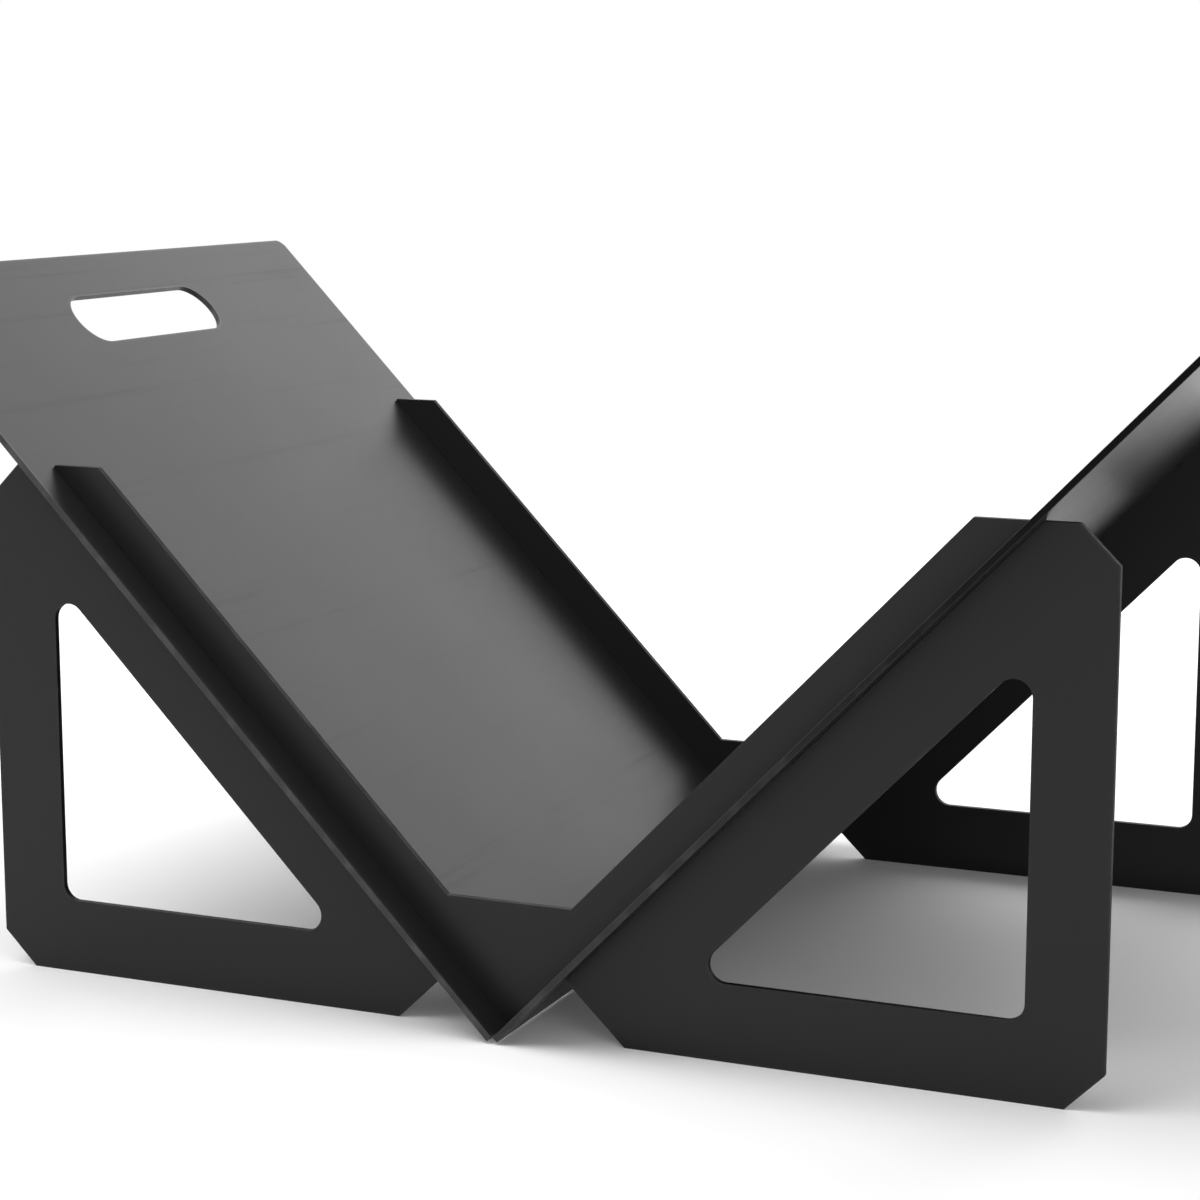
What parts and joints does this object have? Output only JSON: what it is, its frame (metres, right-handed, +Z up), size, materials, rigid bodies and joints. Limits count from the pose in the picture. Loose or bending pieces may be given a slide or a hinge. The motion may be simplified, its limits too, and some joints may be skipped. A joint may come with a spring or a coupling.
{
  "type": "log holder",
  "caption": "Slot-together log holder of black sheet steel: two end panels with triangular legs carry two sloping side plates that form a V trough with hand slots.",
  "frame": {"origin": "on the floor, in the middle of the holder's footprint", "axes": "+X across the V trough, to the right seen from the front; +Y along the logs, from the front end panel to the rear one; +Z up from the floor"},
  "size_m": [0.6578, 0.395, 0.3412],
  "materials": {
    "black_powder_coat": "satin black powder coat on cut sheet steel"
  },
  "bodies": {
    "end_panels": {"front_end_panel": "black_powder_coat", "rear_end_panel": "black_powder_coat"},
    "left_side": {"left_side_plate": "black_powder_coat"},
    "right_side": {"right_side_plate": "black_powder_coat"}
  },
  "joints": [
    {"name": "left_side_lift", "type": "slide", "parent": "end_panels", "child": "left_side", "axis": [-0.6947, 0, 0.7193], "range_m": [0, 0.153]},
    {"name": "right_side_lift", "type": "slide", "parent": "end_panels", "child": "right_side", "axis": [0.6947, 0, 0.7193], "range_m": [0, 0.153]}
  ]
}
